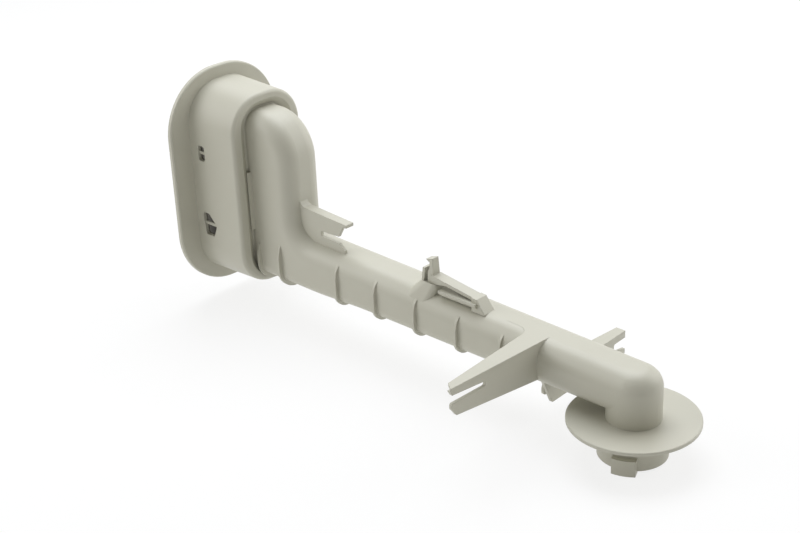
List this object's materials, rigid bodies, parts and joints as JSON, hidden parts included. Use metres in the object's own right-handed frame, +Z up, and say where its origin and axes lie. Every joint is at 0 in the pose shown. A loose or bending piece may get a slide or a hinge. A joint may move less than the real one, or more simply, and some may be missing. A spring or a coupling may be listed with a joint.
{
  "type": "wash arm feed duct",
  "caption": "Dishwasher wash arm feed duct, a hollow grey plastic moulding with a docking flange, ribbed tube, forked side arms and a hub with a splash disc.",
  "frame": {"origin": "on the hub's axis, at the underside of the splash disc, where the collar's bore ends", "axes": "+X from the docking flange along the duct to the hub, +Z up along the hub's axis, +Y across"},
  "size_m": [0.3, 0.1243, 0.1275],
  "materials": {
    "grey_plastic": "satin"
  },
  "bodies": {
    "root": {"feed_duct": "grey_plastic"}
  },
  "joints": []
}
